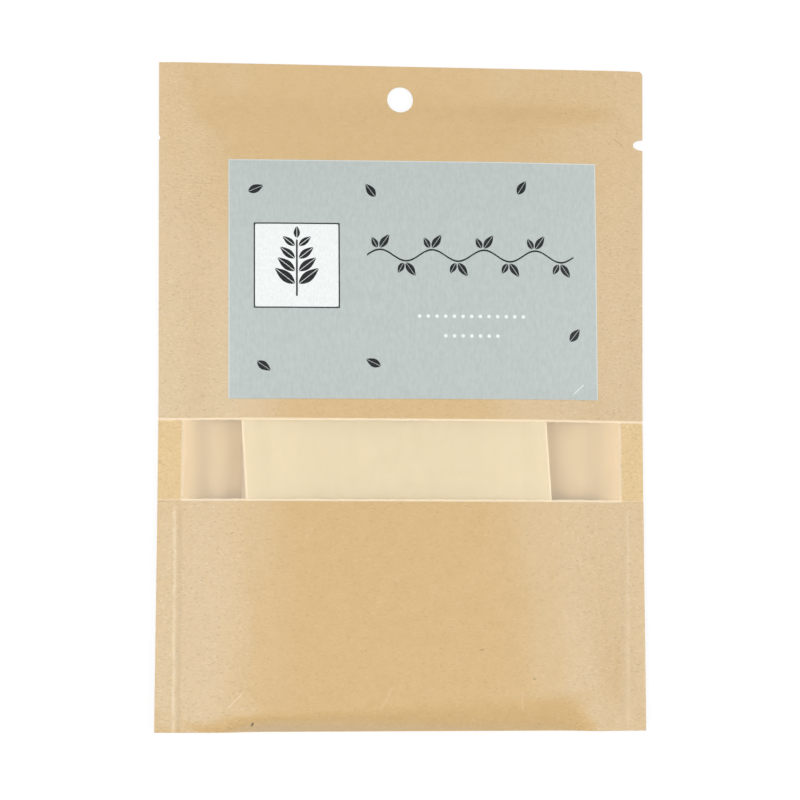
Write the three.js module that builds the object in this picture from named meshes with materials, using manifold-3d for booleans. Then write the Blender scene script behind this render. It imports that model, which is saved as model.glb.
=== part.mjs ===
// A flat kraft paper pouch with a clear window strip, holding a leaning stack of paper tea filters.
// Millimetres. The pouch lies on its back: X runs across it, Y up its face towards the hang hole and
// Z out of its front. The origin is under its middle, on the surface that it lies on.
import * as THREE from 'three';
import { mergeVertices } from 'three/addons/utils/BufferGeometryUtils.js';
import Module from 'manifold-3d';

const { clamp, degToRad, lerp } = THREE.MathUtils;

// Tea filters: flat paper bags with a pleat folded into the foot and a back leaf longer than the front
const FILTER_COUNT = 25;
const FILTER_WIDTH = 69.5;
const FILTER_LENGTH = 130;
const FILTER_FLAP = 20;
const FILTER_PLEAT = 20;
const FILTER_SEAM = 6;
const PAPER = 0.05;
const LEAF_GAP = 0.02;
const FILTER_GAP = 0.025;

// How the stack lies in the pouch: straight, with the last few filters fanned over to a lean at the front
const LEAN_AT_BACK = degToRad(0.2);
const LEAN_AT_FRONT = degToRad(3.7);
const FAN_COUNT = 3;
const FAN_GAP = 0.07;
const STACK_SHIFT = -2.25;
const STACK_CLEAR = 0.25;

// Pouch: kraft laminate, folded at the foot and heat-sealed along both sides and the top
const LAMINATE = 0.14;
const SIDE_SEAL = 5.5;
const TOP_SEAL = 9;
const FOLD_CREASE = 0.6;
const SEAL_BITE = 0.07;
const SIDE_ROOM = 16;
const HEAD_ROOM = 8;
const FOOT_ROOM = 6;
const SIDE_PULL = 0.43;
const FOLD_LIFT = 0.25;
const FLANGE_AT_FOOT = 3;
const FLANGE_AT_TOP = 0.8;
const FLANGE_DROOP = 0.5;
const SLOPE_ROLL = 0.4;
const BACK_FLAT_SHARE = 0.35;
const CORNER_POWER = 4;

// Window: a strip of clear film, its long edges tucked behind the kraft above and below
const WINDOW_HEIGHT = 19;
const FILM = 0.05;
const FILM_TUCK = 5;
const BOND = 0.03;

// Paper label on the upper front
const LABEL_WIDTH = 85;
const LABEL_HEIGHT = 55;
const LABEL_PAPER = 0.1;
const LABEL_DROP = 22.4;
const LABEL_SHIFT = 2.3;
const LABEL_LEAN = degToRad(0.25);
const LABEL_TO_WINDOW = 4.4;

// Hang hole, the two tear notches of a punch that slipped to the left, and the one rounded corner
const HOLE_DIAMETER = 6;
const HOLE_DROP = 7.8;
const HOLE_SHIFT = -0.7;
const PUNCH_ARC_STEPS = 10;
const NOTCH_REACH = 2.4;
const NOTCH_MOUTH = 2.5;
const NOTCH_DEPTH = 1.3;
const NOTCH_SLIP = -1;
const NOTCH_DROP = 17.4;
const CORNER_RADIUS = 1;
const PUNCH_OVERRUN = 2;

// Sizes that follow from those
const POUCH_WIDTH = FILTER_WIDTH + 2 * (SIDE_ROOM + SIDE_SEAL);
const POUCH_HEIGHT = FOOT_ROOM + FILTER_LENGTH + HEAD_ROOM + TOP_SEAL;
const TOP_EDGE = POUCH_HEIGHT / 2;
const LABEL_MIDDLE = TOP_EDGE - LABEL_DROP - LABEL_HEIGHT / 2;
const WINDOW_HEAD = LABEL_MIDDLE - LABEL_HEIGHT / 2 - LABEL_TO_WINDOW;
const WINDOW_FOOT = WINDOW_HEAD - WINDOW_HEIGHT;
const STACK_MIDDLE = FOOT_ROOM + FILTER_LENGTH / 2 - TOP_EDGE;
const STACK_BED = LAMINATE + STACK_CLEAR;
const STACK_RISE = FAN_COUNT * FAN_GAP;
const FRONT_LEAF = FILTER_LENGTH - FILTER_FLAP;
const LEAF_STEP = PAPER + LEAF_GAP;

// Joining and cutting of closed solids
const wasm = await Module();
wasm.setup();

function toSolid(geometry) {
  geometry.deleteAttribute('normal');
  geometry.deleteAttribute('uv');
  const merged = mergeVertices(geometry);
  const vertProperties = new Float32Array(merged.attributes.position.array);
  const triVerts = new Uint32Array(merged.index.array);
  return new wasm.Manifold(new wasm.Mesh({ numProp: 3, vertProperties, triVerts }));
}

function toMesh(name, solid, material) {
  const { vertProperties, triVerts } = solid.getMesh();
  const geometry = new THREE.BufferGeometry();
  geometry.setAttribute('position', new THREE.BufferAttribute(vertProperties, 3));
  geometry.setIndex(new THREE.BufferAttribute(triVerts, 1));
  geometry.computeVertexNormals();
  const mesh = new THREE.Mesh(geometry, material);
  mesh.name = name;
  return mesh;
}

// Height of one filter at a distance along it: four leaves at the pleat, two above it, one at the flap
function filterPitch(along) {
  const pleat = 4 * PAPER + 3 * LEAF_GAP + FILTER_GAP;
  const body = 2 * PAPER + LEAF_GAP + FILTER_GAP;
  const flap = PAPER + FILTER_GAP;
  if (along < FRONT_LEAF) {
    const share = clamp((along - FILTER_PLEAT) / (FRONT_LEAF - FILTER_PLEAT), 0, 1);
    return lerp(pleat, body, share);
  }
  return lerp(body, flap, clamp((along - FRONT_LEAF) / FILTER_FLAP, 0, 1));
}

// How many steps of the fan a filter takes part in: none in the straight stack, all of them at its front
function fanSteps(order) {
  return Math.max(order + 1 + FAN_COUNT - FILTER_COUNT, 0);
}

// One filter seen from the side, distances from its foot and heights off the surface under the pouch
function filterUnder(order, along) {
  return STACK_BED + order * filterPitch(along) + fanSteps(order) * FAN_GAP;
}

function filterOver(order, along) {
  return filterUnder(order, along) + filterPitch(along) - FILTER_GAP;
}

function underSide(order) {
  return [0, FILTER_PLEAT, FRONT_LEAF].map((along) => [along, filterUnder(order, along)]);
}

function upperSide(order) {
  return [FRONT_LEAF, FILTER_PLEAT, 0].map((along) => [along, filterOver(order, along)]);
}

// Its paper as one strip: the back leaf with its flap, in and out of the pleat, and the front leaf
function filterSection(order) {
  const leafUnder = (along, leaf) => [along, filterUnder(order, along) + leaf * LEAF_STEP];
  const leafOver = (along, leaf) => [along, filterUnder(order, along) + leaf * LEAF_STEP + PAPER];
  return [
    ...underSide(order),
    leafUnder(FILTER_LENGTH, 0),
    leafOver(FILTER_LENGTH, 0),
    leafOver(FRONT_LEAF, 0),
    leafOver(FILTER_PLEAT, 0),
    leafOver(PAPER, 0),
    leafUnder(PAPER, 1),
    leafUnder(FILTER_PLEAT, 1),
    leafOver(FILTER_PLEAT, 2),
    leafOver(PAPER, 2),
    leafUnder(PAPER, 3),
    leafUnder(FILTER_PLEAT, 3),
    [FRONT_LEAF, filterOver(order, FRONT_LEAF) - PAPER],
    ...upperSide(order),
    leafUnder(0, 2),
    leafUnder(FILTER_PLEAT - PAPER, 2),
    leafOver(FILTER_PLEAT - PAPER, 1),
    leafOver(0, 1),
  ];
}

// The crimped seam that holds the leaves together at a side, from the foot to the mouth
function seamSection(order) {
  return [...underSide(order), ...upperSide(order)];
}

// A section in the YZ plane, drawn out along X
function drawOut(section, from, to) {
  const shape = new THREE.Shape(section.map(([along, height]) => new THREE.Vector2(along, height)));
  const geometry = new THREE.ExtrudeGeometry(shape, { depth: to - from, bevelEnabled: false });
  const across = new THREE.Vector3(1, 0, 0);
  const up = new THREE.Vector3(0, 1, 0);
  const out = new THREE.Vector3(0, 0, 1);
  geometry.applyMatrix4(new THREE.Matrix4().makeBasis(up, out, across));
  geometry.translate(from, -FILTER_LENGTH / 2, 0);
  return toSolid(geometry);
}

function filterLean(order) {
  return lerp(LEAN_AT_BACK, LEAN_AT_FRONT, fanSteps(order) / FAN_COUNT);
}

function makeFilter(order) {
  const side = FILTER_WIDTH / 2;
  const leftSeam = drawOut(seamSection(order), -side, FILTER_SEAM - side);
  const rightSeam = drawOut(seamSection(order), side - FILTER_SEAM, side);
  return drawOut(filterSection(order), -side, side).add(leftSeam).add(rightSeam);
}

// Guide lines of the pouch, seen from the front. Columns give X for a height up the pouch.
function pouchSide(y) {
  const share = clamp(y / POUCH_HEIGHT + 0.5, 0, 1);
  return POUCH_WIDTH / 2 - SIDE_PULL * Math.sin(Math.PI * share) ** 1.5;
}

function stackSide(side, y) {
  const middle = STACK_SHIFT - (y - STACK_MIDDLE) * Math.tan(LEAN_AT_FRONT);
  return middle + side * FILTER_WIDTH / 2 / Math.cos(LEAN_AT_FRONT);
}

const columnGuides = [
  (y) => -pouchSide(y),
  (y) => SIDE_SEAL - pouchSide(y),
  (y) => stackSide(-1, y),
  (y) => stackSide(1, y),
  (y) => pouchSide(y) - SIDE_SEAL,
  (y) => pouchSide(y),
];
const [LEFT_EDGE, LEFT_SEAL, STACK_LEFT, STACK_RIGHT, RIGHT_SEAL, RIGHT_EDGE] = columnGuides.keys();

// Rows give Y for a place across the pouch. The stack's own ends run level beyond its corners.
function foldLine(x) {
  const share = clamp(x / POUCH_WIDTH + 0.5, 0, 1);
  return FOLD_LIFT * Math.sin(Math.PI * share) - TOP_EDGE;
}

function stackEnd(end, x) {
  const middle = STACK_SHIFT - end * FILTER_LENGTH / 2 * Math.sin(LEAN_AT_FRONT);
  const half = FILTER_WIDTH / 2 * Math.cos(LEAN_AT_FRONT);
  const lean = clamp(x - middle, -half, half) * Math.tan(LEAN_AT_FRONT);
  return STACK_MIDDLE + end * FILTER_LENGTH / 2 * Math.cos(LEAN_AT_FRONT) + lean;
}

const rowGuides = [
  (x) => foldLine(x),
  (x) => foldLine(x) + FOLD_CREASE,
  (x) => stackEnd(-1, x),
  () => WINDOW_FOOT - FILM_TUCK,
  () => WINDOW_FOOT,
  () => WINDOW_HEAD,
  () => WINDOW_HEAD + FILM_TUCK,
  (x) => stackEnd(1, x),
  () => TOP_EDGE - TOP_SEAL,
  () => TOP_EDGE,
];
const [FOLD, , STACK_FOOT, TUCK_FOOT, SILL, LINTEL, TUCK_HEAD, STACK_HEAD, , TOP] = rowGuides.keys();

function crossing(column, row) {
  const settlingPasses = 6;
  let x = 0;
  let y = 0;
  for (let pass = 0; pass < settlingPasses; pass++) {
    y = rowGuides[row](x);
    x = columnGuides[column](y);
  }
  return new THREE.Vector2(x, y);
}

const crossings = columnGuides.map((_, column) => rowGuides.map((__, row) => crossing(column, row)));

// A place on the pouch between guide lines, such as column 1.5 and row 2.25
function placeAt(column, row) {
  const left = Math.min(Math.floor(column), columnGuides.length - 2);
  const foot = Math.min(Math.floor(row), rowGuides.length - 2);
  const low = crossings[left][foot].clone().lerp(crossings[left + 1][foot], column - left);
  const high = crossings[left][foot + 1].clone().lerp(crossings[left + 1][foot + 1], column - left);
  return low.lerp(high, row - foot);
}

// Stations between the guide lines, finer where the sheets bend
const columnCells = [1, 4, 4, 4, 1];
const rowCells = [1, 3, 5, 1, 2, 1, 6, 3, 2];

function stations(cells, from, to) {
  const list = [from];
  for (let guide = from; guide < to; guide++) {
    for (let cell = 1; cell <= cells[guide]; cell++) {
      list.push(guide + cell / cells[guide]);
    }
  }
  return list;
}

// Heights of the pouch's layers. Reach runs from 0 on the stack's edge to 1 on the seal line.
function reachAt(column, row) {
  const across = Math.max(STACK_LEFT - column, column - STACK_RIGHT, 0);
  const along = Math.max(STACK_FOOT - row, row - STACK_HEAD, 0);
  return Math.min(1, (across ** CORNER_POWER + along ** CORNER_POWER) ** (1 / CORNER_POWER));
}

function rolled(reach) {
  return lerp(reach, reach ** 2, SLOPE_ROLL);
}

function frontSlope(column, row) {
  return rolled(reachAt(column, row));
}

function backSlope(column, row) {
  const lifted = (reachAt(column, row) - BACK_FLAT_SHARE) / (1 - BACK_FLAT_SHARE);
  return rolled(Math.max(lifted, 0));
}

// The sealed rim stands higher at the foot than at the top, and droops across each side seal
function flangeAt(column, row) {
  const share = placeAt(column, row).y / POUCH_HEIGHT + 0.5;
  const outward = Math.max(LEFT_SEAL - column, column - RIGHT_SEAL, 0);
  return lerp(FLANGE_AT_FOOT, FLANGE_AT_TOP, share) - FLANGE_DROOP * outward;
}

function stackTopAt(column, row) {
  const place = placeAt(clamp(column, STACK_LEFT, STACK_RIGHT), clamp(row, STACK_FOOT, STACK_HEAD));
  place.sub(new THREE.Vector2(STACK_SHIFT, STACK_MIDDLE));
  const along = place.rotateAround(new THREE.Vector2(), -LEAN_AT_FRONT).y + FILTER_LENGTH / 2;
  return STACK_BED + FILTER_COUNT * filterPitch(along) + STACK_RISE;
}

function backUnder(column, row) {
  return flangeAt(column, row) * backSlope(column, row);
}

function filmUnder(column, row) {
  const onStack = stackTopAt(column, row) + STACK_CLEAR;
  const onSeal = flangeAt(column, row) + LAMINATE + BOND;
  return lerp(onStack, onSeal, frontSlope(column, row));
}

function kraftUnder(column, row) {
  return filmUnder(column, row) + FILM + BOND;
}

// Below the film the lower front leaf is welded to the back along the seals and the fold
function lowerLeafUnder(column, row) {
  const welded = reachAt(column, row) === 1 && row < TUCK_FOOT;
  return kraftUnder(column, row) - (welded ? FILM + 2 * BOND + SEAL_BITE : 0);
}

function labelUnder(column, row) {
  return kraftUnder(column, row) + LAMINATE + BOND;
}

// A sheet of one thickness across the whole pouch, between two rows of guide lines
function sheet(fromRow, toRow, thickness, underAt) {
  const columns = stations(columnCells, LEFT_EDGE, RIGHT_EDGE);
  const rows = stations(rowCells, fromRow, toRow);
  const across = columns.length - 1;
  const along = rows.length - 1;
  const geometry = new THREE.BoxGeometry(1, 1, 1, across, along, 1);
  matchDiagonals(geometry);
  const position = geometry.attributes.position;
  for (let i = 0; i < position.count; i++) {
    const column = columns[Math.round((position.getX(i) + 0.5) * across)];
    const row = rows[Math.round((position.getY(i) + 0.5) * along)];
    const { x, y } = placeAt(column, row);
    const over = position.getZ(i) > 0 ? thickness : 0;
    position.setXYZ(i, x, y, underAt(column, row) + over);
  }
  return toSolid(geometry);
}

// Splits the squares of a sheet's under side along the same diagonal as its upper side, so layers nest
function matchDiagonals(geometry) {
  const index = geometry.index.array;
  const underSide = geometry.groups[5];
  const cornersPerSquare = 6;
  for (let i = underSide.start; i < underSide.start + underSide.count; i += cornersPerSquare) {
    const [a, b, d, , c] = index.slice(i, i + cornersPerSquare);
    index.set([a, b, c, a, c, d], i);
  }
}

// Punches: outlines seen from the front, driven through the whole pouch
function punch(shape) {
  const thickest = STACK_BED + FILTER_COUNT * filterPitch(0) + STACK_RISE + FLANGE_AT_FOOT;
  const depth = thickest + 2 * PUNCH_OVERRUN;
  const steps = { depth, bevelEnabled: false, curveSegments: PUNCH_ARC_STEPS };
  const geometry = new THREE.ExtrudeGeometry(shape, steps);
  geometry.translate(0, 0, -PUNCH_OVERRUN);
  return toSolid(geometry);
}

function hangHole() {
  const shape = new THREE.Shape();
  shape.absarc(HOLE_SHIFT, TOP_EDGE - HOLE_DROP, HOLE_DIAMETER / 2, 0, 2 * Math.PI);
  return punch(shape);
}

function tearNotch(side) {
  const y = TOP_EDGE - NOTCH_DROP;
  const x = side * (pouchSide(y) + NOTCH_REACH - NOTCH_DEPTH) + NOTCH_SLIP;
  const shape = new THREE.Shape();
  shape.absellipse(x, y, NOTCH_REACH, NOTCH_MOUTH / 2, 0, 2 * Math.PI);
  return punch(shape);
}

function cornerTrim() {
  const x = POUCH_WIDTH / 2;
  const shape = new THREE.Shape();
  shape.moveTo(x - CORNER_RADIUS, TOP_EDGE + PUNCH_OVERRUN);
  shape.lineTo(x + PUNCH_OVERRUN, TOP_EDGE + PUNCH_OVERRUN);
  shape.lineTo(x + PUNCH_OVERRUN, TOP_EDGE - CORNER_RADIUS);
  shape.absarc(x - CORNER_RADIUS, TOP_EDGE - CORNER_RADIUS, CORNER_RADIUS, 0, Math.PI / 2);
  return punch(shape);
}

function punchedTop(solid) {
  return solid.subtract(hangHole()).subtract(tearNotch(-1)).subtract(tearNotch(1)).subtract(cornerTrim());
}

function labelBlank() {
  const corners = [[-1, -1], [1, -1], [1, 1], [-1, 1]];
  const points = corners.map(([a, b]) => new THREE.Vector2(a * LABEL_WIDTH / 2, b * LABEL_HEIGHT / 2));
  for (const point of points) {
    point.rotateAround(new THREE.Vector2(), LABEL_LEAN);
    point.add(new THREE.Vector2(LABEL_SHIFT, LABEL_MIDDLE));
  }
  return punch(new THREE.Shape(points));
}

// The pouch's pieces
function makePouchBody() {
  const back = sheet(FOLD, TOP, LAMINATE, backUnder);
  const lowerFront = sheet(FOLD, SILL, LAMINATE, lowerLeafUnder);
  return punchedTop(back.add(lowerFront));
}

function makeUpperFrontPanel() {
  return punchedTop(sheet(LINTEL, TOP, LAMINATE, kraftUnder));
}

function makeWindowFilm() {
  return sheet(TUCK_FOOT, TUCK_HEAD, FILM, filmUnder);
}

function makeLabel() {
  return sheet(LINTEL, TOP, LABEL_PAPER, labelUnder).intersect(labelBlank());
}

// Finishes
function kraftPaper() {
  return new THREE.MeshStandardMaterial({ color: 0xdcbf95, roughness: 0.8, metalness: 0 });
}

function clearFilm() {
  const look = { color: 0xf2ebe2, roughness: 0.35, metalness: 0, transparent: true, opacity: 0.3 };
  return new THREE.MeshStandardMaterial(look);
}

function labelPaper() {
  return new THREE.MeshStandardMaterial({ color: 0xc1c8c5, roughness: 0.6, metalness: 0 });
}

function filterPaper() {
  return new THREE.MeshStandardMaterial({ color: 0xebdab4, roughness: 0.9, metalness: 0 });
}

// The whole pack
function makeStack() {
  const stack = new THREE.Group();
  for (let order = 0; order < FILTER_COUNT; order++) {
    const name = `filter_${String(order + 1).padStart(2, '0')}`;
    const filter = toMesh(name, makeFilter(order), filterPaper());
    filter.rotation.z = filterLean(order);
    stack.add(filter);
  }
  stack.position.set(STACK_SHIFT, STACK_MIDDLE, 0);
  return stack;
}

function makePack() {
  const pack = new THREE.Group();
  pack.add(toMesh('pouch_body', makePouchBody(), kraftPaper()));
  pack.add(toMesh('upper_front_panel', makeUpperFrontPanel(), kraftPaper()));
  pack.add(toMesh('window_film', makeWindowFilm(), clearFilm()));
  pack.add(toMesh('label', makeLabel(), labelPaper()));
  pack.add(makeStack());
  return pack;
}

export default makePack();
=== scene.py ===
"""A flat kraft paper pouch with a clear window strip, holding a leaning stack of paper tea filters.

Metres. The pouch lies on its back: X runs across it, Y up its face towards the hang hole and Z out of
its front. The origin is under its middle, on the surface that it lies on.
"""

import math

import bmesh
import bpy
import numpy as np
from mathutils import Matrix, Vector, noise
from mathutils.bvhtree import BVHTree


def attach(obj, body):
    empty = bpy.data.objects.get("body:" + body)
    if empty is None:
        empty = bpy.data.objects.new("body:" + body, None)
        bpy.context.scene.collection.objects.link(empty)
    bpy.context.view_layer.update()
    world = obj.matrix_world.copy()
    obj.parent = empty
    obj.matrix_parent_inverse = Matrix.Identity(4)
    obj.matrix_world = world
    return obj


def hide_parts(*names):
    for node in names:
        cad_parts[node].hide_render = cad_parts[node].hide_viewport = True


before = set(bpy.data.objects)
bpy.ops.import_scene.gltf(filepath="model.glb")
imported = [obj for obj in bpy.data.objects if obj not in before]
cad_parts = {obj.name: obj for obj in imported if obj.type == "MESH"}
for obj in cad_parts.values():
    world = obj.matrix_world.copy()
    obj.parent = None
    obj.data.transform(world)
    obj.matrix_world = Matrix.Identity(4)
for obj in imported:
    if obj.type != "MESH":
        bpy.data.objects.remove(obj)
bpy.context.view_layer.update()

MM = 0.001
WHITE = (1, 1, 1, 1)

# Tea filters and how their stack lies in the pouch
FILTER_COUNT = 25
FILTER_WIDTH = 69.5 * MM
FILTER_LENGTH = 130 * MM
FILTER_FLAP = 20 * MM
FILTER_PLEAT = 20 * MM
FILTER_SEAM = 6 * MM
PLEAT_PITCH = 0.285 * MM
BODY_PITCH = 0.145 * MM
FLAP_PITCH = 0.075 * MM
LEAN = math.radians(3.7)
STACK_SHIFT = -2.25 * MM
STACK_CLEAR = 0.25 * MM
FAN_COUNT = 3
FAN_GAP = 0.07 * MM

# Pouch: kraft laminate, folded at the foot and heat-sealed along both sides and the top
LAMINATE = 0.14 * MM
SIDE_SEAL = 5.5 * MM
TOP_SEAL = 9 * MM
SIDE_ROOM = 16 * MM
HEAD_ROOM = 8 * MM
FOOT_ROOM = 6 * MM
SIDE_PULL = 0.43 * MM
SIDE_PULL_POWER = 1.5
FOLD_LIFT = 0.25 * MM
FOLD_CREASE = 0.25 * MM
FOLD_ROLL = 1.1 * LAMINATE
FOLD_TURNS = 7
WELD_GAP = 0.005 * MM
WELD_FROM = 0.85
WELD_RUN = 0.15
WELD_ROWS = 0.25

# Seals: height above the table, droop of the rims, wave near the foot, and ridges
FLANGE_AT_FOOT = 3 * MM
FLANGE_AT_TOP = 0.8 * MM
DROOP_AT_FOOT = 0.9 * MM
DROOP_AT_TOP = 0.5 * MM
FOOT_WAVE = 1.5 * MM
SEAL_WAVER = 0.9 * MM
RIDGE = 0.07 * MM
RIDGE_BREADTH = 0.7 * MM
RIDGE_LINE = 52 * MM
RIDGE_ON_RIGHT = 0.4
RIDGE_WAVER = 0.6 * MM
RIDGE_HEAD_RUN = 6 * MM
RIDGE_FOOT_RUN = 8 * MM
CREASE_SHADE_INSIDE = 1.2 * MM

# Back: flat under the stack, rising beside it to meet the front
BACK_FLAT_SHARE = 0.35
BACK_SEALED_FROM = 0.5
BACK_ROOM = 0.2 * MM
BACK_EDGE = 1.2 * MM
BACK_RUN = 4 * MM
BACK_STEEPEST = 0.9
BACK_PASSES = 4

# Front: how it stands off the stack, rolls over its edges and runs down to the seals
EDGE_CLEAR = 0.14 * MM
EDGE_ROUND = 0.2
SLOPE_ROLL = 0.4
HEAD_SQUARE = 4
SWELL = 1.1 * MM
SWELL_RUN = 8 * MM
FRONT_LIMIT = 8.15 * MM
SOFT_PASSES = 50
END_PASSES = 9
CREST_HOLD = 0.8
HELD_REACH = 0.06
REST_ROUND = 0.1 * MM
REST_PASSES = 3
FOOT_ZONE = -52 * MM
HEAD_ZONE = 52 * MM
END_RUN = 12 * MM
CORNER_SHARE = 0.35
RIM_RUN = 4 * MM

# Hills and hollows of the paper: height, size across and a layer of noise of their own
BROAD_DENTS = (0.12 * MM, 34 * MM, 0.4)
SMALL_DENTS = (0.04 * MM, 11 * MM, 1.9)
SEAL_WAVES = (0.08 * MM, 24 * MM, 3.1)
WRINKLES = (0.012 * MM, 3.4 * MM, 8.2)
CRUMPLE = (0.05 * MM, 2.2 * MM, 5.7)
CRUMPLE_CORNER = (-42 * MM, -50 * MM)
CRUMPLE_RUN = (8 * MM, 10 * MM)

# Window: a strip of clear film, its long edges tucked behind the kraft above and below
WINDOW_HEIGHT = 19 * MM
FILM = 0.05 * MM
FILM_TUCK = 5 * MM
BOND = 0.03 * MM
BEAD = 0.6 * MM
BEAD_WAVER = 0.3 * MM

# Paper label on the upper front
LABEL_WIDTH = 85 * MM
LABEL_HEIGHT = 55 * MM
LABEL_PAPER = 0.1 * MM
LABEL_DROP = 22.4 * MM
LABEL_SHIFT = 2.3 * MM
LABEL_LEAN = math.radians(0.25)
LABEL_TO_WINDOW = 4.4 * MM
LABEL_STEP = 0.6 * MM
LABEL_LIFT = 0.12 * MM
LABEL_LIFT_RUN = 2.5 * MM
INK = 0.008 * MM
PALE_INK_OVER = 0.004 * MM
DARK_INK_OVER = 0.016 * MM

# Hang hole, tear notches of a punch that slipped to the left, and the one rounded corner
HOLE_DIAMETER = 6 * MM
HOLE_DROP = 7.8 * MM
HOLE_SHIFT = -0.7 * MM
HOLE_STEPS = 64
NOTCH_REACH = 2.4 * MM
NOTCH_MOUTH = 2.5 * MM
NOTCH_DEPTH = 1.3 * MM
NOTCH_SLIP = -1 * MM
NOTCH_DROP = 17.4 * MM
NOTCH_STEPS = 48
CORNER_RADIUS = 1 * MM
CORNER_STEPS = 12
CORNER_BEYOND = 2 * MM
PUNCH_FROM = -5 * MM
PUNCH_TO = 20 * MM
SHARP_EDGE = math.radians(38)

# Sizes that follow from those
POUCH_WIDTH = FILTER_WIDTH + 2 * (SIDE_ROOM + SIDE_SEAL)
POUCH_HEIGHT = FOOT_ROOM + FILTER_LENGTH + HEAD_ROOM + TOP_SEAL
TOP_EDGE = POUCH_HEIGHT / 2
LABEL_MIDDLE = TOP_EDGE - LABEL_DROP - LABEL_HEIGHT / 2
WINDOW_HEAD = LABEL_MIDDLE - LABEL_HEIGHT / 2 - LABEL_TO_WINDOW
WINDOW_FOOT = WINDOW_HEAD - WINDOW_HEIGHT
STACK_MIDDLE = FOOT_ROOM + FILTER_LENGTH / 2 - TOP_EDGE
STACK_BED = LAMINATE + STACK_CLEAR
STACK_RISE = FAN_COUNT * FAN_GAP
FRONT_LEAF = FILTER_LENGTH - FILTER_FLAP
FOLD_START = FOLD_ROLL / FOLD_CREASE


# Guide lines of the pouch, seen from the front
def pouch_side(y):
    share = np.clip(y / POUCH_HEIGHT + 0.5, 0, 1)
    return POUCH_WIDTH / 2 - SIDE_PULL * np.sin(math.pi * share) ** SIDE_PULL_POWER


def stack_side(side, y):
    middle = STACK_SHIFT - (y - STACK_MIDDLE) * math.tan(LEAN)
    return middle + side * FILTER_WIDTH / 2 / math.cos(LEAN)


def fold_line(x):
    share = np.clip(x / POUCH_WIDTH + 0.5, 0, 1)
    return FOLD_LIFT * np.sin(math.pi * share) - TOP_EDGE


def stack_end(end, x):
    middle = STACK_SHIFT - end * FILTER_LENGTH / 2 * math.sin(LEAN)
    half = FILTER_WIDTH / 2 * math.cos(LEAN)
    lean = np.clip(x - middle, -half, half) * math.tan(LEAN)
    return STACK_MIDDLE + end * FILTER_LENGTH / 2 * math.cos(LEAN) + lean


COLUMN_GUIDES = [
    lambda y: -pouch_side(y),
    lambda y: SIDE_SEAL - pouch_side(y),
    lambda y: stack_side(-1, y),
    lambda y: stack_side(1, y),
    lambda y: pouch_side(y) - SIDE_SEAL,
    pouch_side,
]
STACK_LEFT = 2
STACK_RIGHT = 3

ROW_GUIDES = [
    fold_line,
    lambda x: fold_line(x) + FOLD_CREASE,
    lambda x: stack_end(-1, x),
    lambda x: WINDOW_FOOT - FILM_TUCK,
    lambda x: WINDOW_FOOT,
    lambda x: WINDOW_HEAD,
    lambda x: WINDOW_HEAD + FILM_TUCK,
    lambda x: stack_end(1, x),
    lambda x: TOP_EDGE - TOP_SEAL,
    lambda x: TOP_EDGE,
]
STACK_FOOT = 2
TUCK_FOOT = 3
SILL = 4
LINTEL = 5
TUCK_HEAD = 6
STACK_HEAD = 7
TOP = 9


def crossing(column, row):
    settling_passes = 6
    x = 0.0
    y = 0.0
    for _ in range(settling_passes):
        y = ROW_GUIDES[row](x)
        x = COLUMN_GUIDES[column](y)
    return x, y


CROSSINGS = np.array([[crossing(c, r) for r in range(len(ROW_GUIDES))] for c in range(len(COLUMN_GUIDES))])


def place_at(columns, rows):
    """X and Y of places between guide lines, such as column 1.5 and row 2.25."""
    left = np.minimum(np.floor(columns), len(COLUMN_GUIDES) - 2).astype(int)
    foot = np.minimum(np.floor(rows), len(ROW_GUIDES) - 2).astype(int)
    across = (columns - left)[..., None]
    along = (rows - foot)[..., None]
    low = CROSSINGS[left, foot] * (1 - across) + CROSSINGS[left + 1, foot] * across
    high = CROSSINGS[left, foot + 1] * (1 - across) + CROSSINGS[left + 1, foot + 1] * across
    place = low * (1 - along) + high * along
    return place[..., 0], place[..., 1]


# Stations between the guide lines, about the same distance apart everywhere
COLUMN_CELLS = [7, 17, 87, 17, 7]
ROW_CELLS = [3, 8, 51, 6, 24, 6, 74, 10, 11]


def stations(cells, start, end):
    places = [start]
    for guide in range(int(start), end):
        first = max(start, guide)
        steps = cells[guide]
        places += [first + (guide + 1 - first) * step / steps for step in range(1, steps + 1)]
    return np.array(places)


COLUMN_STATIONS = stations(COLUMN_CELLS, 0, len(COLUMN_CELLS))
ROW_STATIONS = stations(ROW_CELLS, FOLD_START, TOP)
COLUMNS, ROWS = np.meshgrid(COLUMN_STATIONS, ROW_STATIONS)
X, Y = place_at(COLUMNS, ROWS)


# Heights of the pouch's layers. Reach runs from 0 on the stack's edge to 1 on the seal line.
def blend(low, high, share):
    return low + (high - low) * share


def ease(share):
    share = np.clip(share, 0, 1)
    return share * share * (3 - 2 * share)


def soft_larger(first, second, radius):
    return (first + second + np.hypot(first - second, radius)) / 2


def soft_smaller(first, second, radius):
    return (first + second - np.hypot(first - second, radius)) / 2


def smoothed(heights, passes):
    for _ in range(passes):
        wide = np.pad(heights, 1, mode="edge")
        along = (wide[:-2] + 2 * wide[1:-1] + wide[2:]) / 4
        heights = (along[:, :-2] + 2 * along[:, 1:-1] + along[:, 2:]) / 4
    return heights


def softened(heights, passes):
    """Rounds off heights over a few millimetres without letting their crests sink."""
    sunk = np.maximum(heights - smoothed(heights, passes), 0)
    return smoothed(heights + CREST_HOLD * sunk, passes)


def ripple(height, size, layer):
    """Smooth hills and hollows, about the given height and size across."""
    spots = zip(X.ravel() / size, Y.ravel() / size)
    return height * np.array([noise.noise(Vector((a, b, layer))) for a, b in spots]).reshape(X.shape)


BESIDE_STACK = np.clip(np.maximum(STACK_LEFT - COLUMNS, COLUMNS - STACK_RIGHT), 0, 1)
LOW_DOWN = ease((FOOT_ZONE - Y) / END_RUN)


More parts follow.
